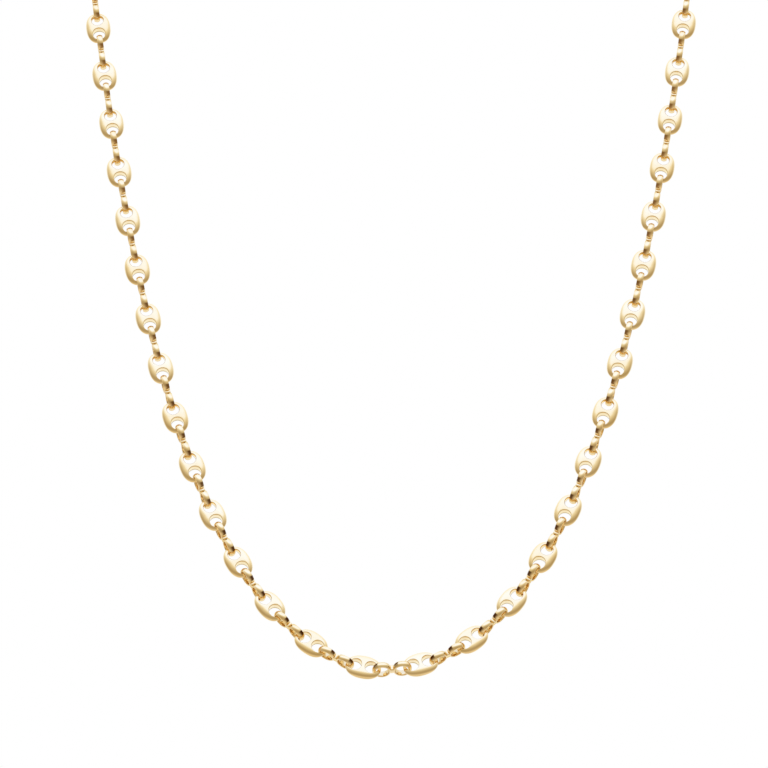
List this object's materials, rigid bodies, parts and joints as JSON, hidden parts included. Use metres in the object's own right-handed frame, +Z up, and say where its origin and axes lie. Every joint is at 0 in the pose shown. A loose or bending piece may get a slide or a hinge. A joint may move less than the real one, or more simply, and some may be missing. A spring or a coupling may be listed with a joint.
{
  "type": "coffee bean neck chain",
  "caption": "Closed neck chain that hangs in a leaning U: puffed two-hole bean links joined by upright double-ring connectors, with a plain one-piece clasp at the nape",
  "frame": {"origin": "top middle of the closed loop, on the chain's centre line inside the clasp, where it lies on the nape", "axes": "+Z up along the loop's height, its longest extent; X across the neck; -Y is the side that faces the viewer, and Y is the shortest extent"},
  "size_m": [0.1187, 0.0914, 0.1889],
  "materials": {
    "bean_gold": "high polish",
    "connector_gold": "high polish",
    "clasp_gold": "high polish"
  },
  "bodies": {
    "root": {"bean_links": "bean_gold", "connector_links": "connector_gold", "clasp": "clasp_gold"}
  },
  "joints": []
}
